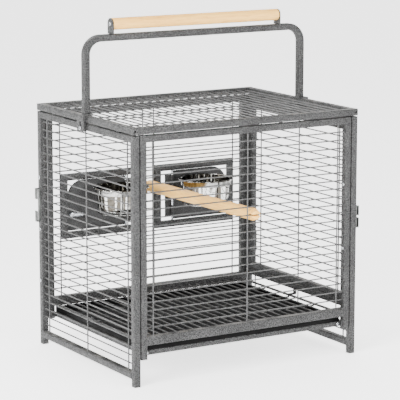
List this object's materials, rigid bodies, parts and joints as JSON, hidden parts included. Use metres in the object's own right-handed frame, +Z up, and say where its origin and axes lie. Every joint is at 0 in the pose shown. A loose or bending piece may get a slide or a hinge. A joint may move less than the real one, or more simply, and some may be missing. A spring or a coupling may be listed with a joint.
{
  "type": "bird transport cage",
  "caption": "Portable wire bird cage of square tube with a hinged side door, swing-out bowls, perch, floor grate, slide-out tray and carrying handle.",
  "frame": {"origin": "on the floor, under the middle of the whole object's box", "axes": "+Z up, -Y towards the front, +X towards the side with the door"},
  "size_m": [0.4862, 0.36, 0.6175],
  "materials": {
    "tube_coat": "silver grey hammertone powder coat on square steel tube",
    "wire_coat": "silver grey powder coat on steel wire",
    "panel_coat": "dark grey powder coat on sheet steel",
    "zinc": "bright zinc plate",
    "steel": "bright drawn steel",
    "bowl_steel": "polished stainless steel",
    "timber": "plain sanded pale hardwood",
    "black_plastic": "black moulded plastic",
    "tray_plastic": "black moulded plastic with a fine grain"
  },
  "bodies": {
    "cage": {"left_side_frame": "tube_coat", "left_side_grille": "wire_coat", "right_side_frame": "tube_coat", "right_lower_grille": "wire_coat", "front_frame": "tube_coat", "front_grille": "wire_coat", "back_frame": "tube_coat", "back_grille_upper": "wire_coat", "back_grille_columns": "wire_coat", "back_grille_lower": "wire_coat", "top_frame": "tube_coat", "top_grille": "wire_coat", "top_spacers": "black_plastic", "top_screws": "zinc", "handle_tube": "tube_coat", "handle_bracket_left": "tube_coat", "handle_bracket_right": "tube_coat", "handle_screws": "zinc", "grip_plates": "tube_coat", "grip": "timber", "grip_screws": "zinc", "perch": "timber", "feeder_frame_left": "tube_coat", "feeder_frame_right": "tube_coat", "feeder_pivot_left": "zinc", "feeder_pivot_right": "zinc", "base_ring": "tube_coat", "base_screws": "zinc", "front_screws": "zinc", "back_screws": "zinc", "leg_plugs": "black_plastic", "latch_keeper": "zinc", "strap_hooks": "zinc", "hinge_leaves_post": "zinc", "hinge_pins": "steel"},
    "side_door": {"side_door_frame": "tube_coat", "side_door_grille": "wire_coat", "hinge_leaves_door": "zinc", "latch_housing": "zinc"},
    "door_bolt": {"latch_bolt": "steel"},
    "tray": {"tray": "tray_plastic"},
    "floor_grate": {"floor_grate": "wire_coat", "grate_bars": "wire_coat", "grate_clips": "black_plastic"},
    "feeder_left": {"feeder_panel_left": "panel_coat", "bowl_holder_left": "zinc"},
    "feeder_right": {"feeder_panel_right": "panel_coat", "bowl_holder_right": "zinc"},
    "bowl_left": {"bowl_left": "bowl_steel"},
    "bowl_right": {"bowl_right": "bowl_steel"},
    "feeder_latch_left": {"feeder_latch_left": "zinc"},
    "feeder_latch_right": {"feeder_latch_right": "zinc"}
  },
  "joints": [
    {"name": "side_door_hinge", "type": "hinge", "parent": "cage", "child": "side_door", "pos_m": [0.22725, 0.16725, 0.25], "axis": [0, 0, 1], "range_deg": [0, 120]},
    {"name": "door_bolt_slide", "type": "slide", "parent": "side_door", "child": "door_bolt", "axis": [0, -1, 0], "range_m": [0, 0.01]},
    {"name": "tray_slide", "type": "slide", "parent": "cage", "child": "tray", "axis": [0, -1, 0], "range_m": [0, 0.3]},
    {"name": "floor_grate_lift", "type": "slide", "parent": "cage", "child": "floor_grate", "axis": [0, 0, 1], "range_m": [0, 0.1]},
    {"name": "feeder_left_pivot", "type": "hinge", "parent": "cage", "child": "feeder_left", "pos_m": [-0.05585, 0.1729, 0.2545], "axis": [0, 0, -1], "range_deg": [0, 100]},
    {"name": "feeder_right_pivot", "type": "hinge", "parent": "cage", "child": "feeder_right", "pos_m": [0.04515, 0.1729, 0.2545], "axis": [0, 0, 1], "range_deg": [0, 100]},
    {"name": "bowl_left_lift", "type": "slide", "parent": "feeder_left", "child": "bowl_left", "axis": [0, 0, 1], "range_m": [0, 0.06]},
    {"name": "bowl_right_lift", "type": "slide", "parent": "feeder_right", "child": "bowl_right", "axis": [0, 0, 1], "range_m": [0, 0.06]},
    {"name": "feeder_latch_left_turn", "type": "hinge", "parent": "feeder_left", "child": "feeder_latch_left", "pos_m": [-0.17135, 0.17, 0.238], "axis": [0, -1, 0], "range_deg": [0, 180]},
    {"name": "feeder_latch_right_turn", "type": "hinge", "parent": "feeder_right", "child": "feeder_latch_right", "pos_m": [0.16065, 0.17, 0.238], "axis": [0, 1, 0], "range_deg": [0, 180]}
  ]
}
